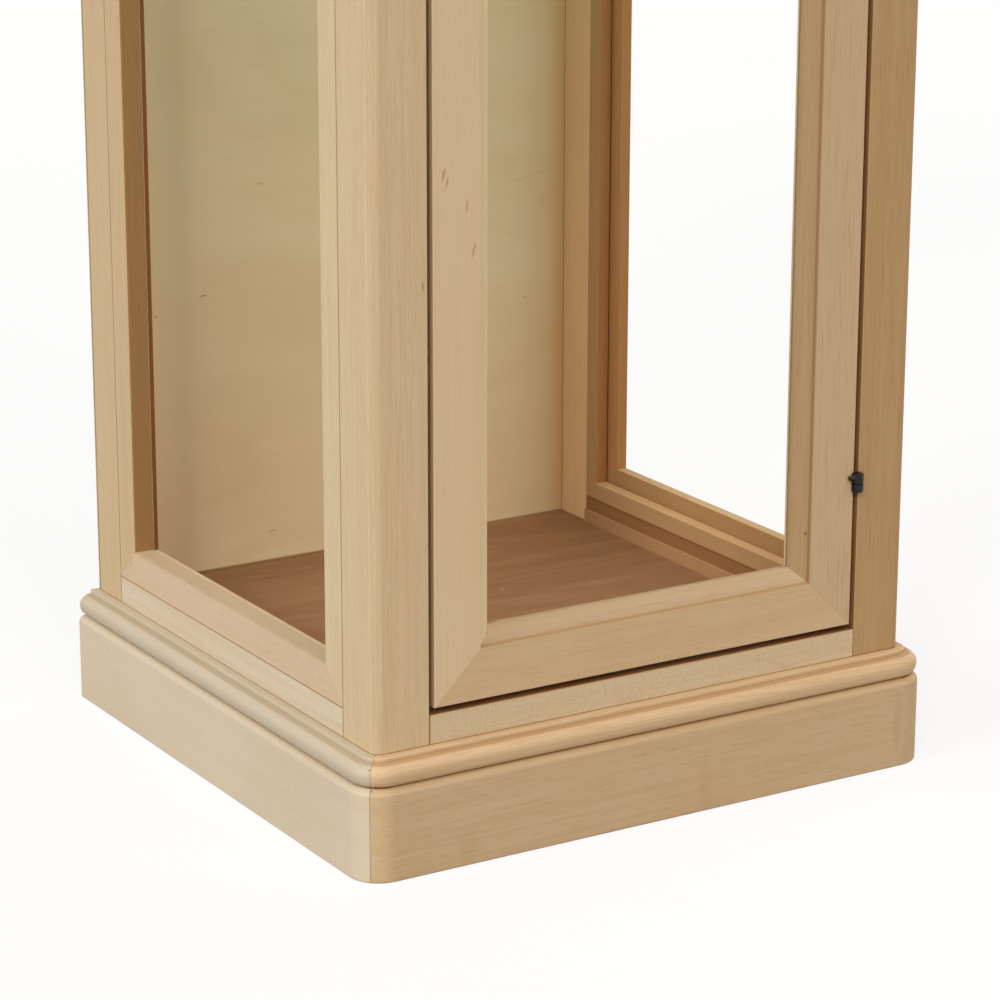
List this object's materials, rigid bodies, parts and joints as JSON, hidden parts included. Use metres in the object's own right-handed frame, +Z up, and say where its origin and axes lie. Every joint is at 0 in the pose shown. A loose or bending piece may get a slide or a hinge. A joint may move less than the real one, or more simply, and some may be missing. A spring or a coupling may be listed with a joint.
{
  "type": "display cabinet",
  "caption": "Tall wooden display cabinet with a moulded base, glazed sides, glass shelves and a hinged glazed front door.",
  "frame": {"origin": "centre of the plan at floor level, under the middle of the plinth", "axes": "+Z up; the door faces -Y and hangs on its +X side"},
  "size_m": [0.525, 0.485, 1.8],
  "materials": {
    "beech": "raw sanded, unfinished",
    "walnut_veneer": "brown veneer on a panel, raw",
    "birch_ply": "raw sanded plywood",
    "hidden_wood": "sawn",
    "clear_glass": "clear float glass, ground edges",
    "black_iron": "black, satin",
    "bright_steel": "zinc plated",
    "catch_housing": "moulded"
  },
  "bodies": {
    "carcass": {"plinth_front": "beech", "plinth_right": "beech", "plinth_back": "beech", "plinth_left": "beech", "moulding_front": "beech", "moulding_right": "beech", "moulding_left": "beech", "corner_blocks": "hidden_wood", "floor_cleats": "hidden_wood", "floor_panel": "walnut_veneer", "post_front_left": "beech", "post_front_right": "beech", "post_back_left": "beech", "post_back_right": "beech", "bottom_rail_front": "beech", "bottom_rail_left": "beech", "bottom_rail_right": "beech", "top_rail_front": "beech", "top_rail_left": "beech", "top_rail_right": "beech", "top_rail_back": "beech", "back_panel": "birch_ply", "back_screws": "bright_steel", "side_strips": "beech", "left_frame_bottom": "beech", "left_frame_back": "beech", "left_frame_top": "beech", "left_frame_front": "beech", "right_frame_bottom": "beech", "right_frame_front": "beech", "right_frame_top": "beech", "right_frame_back": "beech", "left_pane": "clear_glass", "right_pane": "clear_glass", "left_beads": "beech", "right_beads": "beech", "cornice_front": "beech", "cornice_right": "beech", "cornice_back": "beech", "cornice_left": "beech", "ceiling_panel": "birch_ply", "top_board": "beech", "shelf_lower": "clear_glass", "shelf_upper": "clear_glass", "shelf_pins": "bright_steel", "hinge_post_halves": "black_iron", "hinge_pins": "bright_steel", "catch": "catch_housing", "catch_screws": "bright_steel"},
    "door": {"door_rail_bottom": "beech", "door_stile_left": "beech", "door_rail_top": "beech", "door_stile_right": "beech", "door_pane": "clear_glass", "door_beads": "beech", "hinge_door_halves": "black_iron", "knob": "black_iron", "knob_screw": "bright_steel", "strike_plate": "bright_steel"}
  },
  "joints": [
    {"name": "door_hinge", "type": "hinge", "parent": "carcass", "child": "door", "pos_m": [0.1853, -0.2147, 0.905], "axis": [0, 0, 1], "range_deg": [0, 165]}
  ]
}
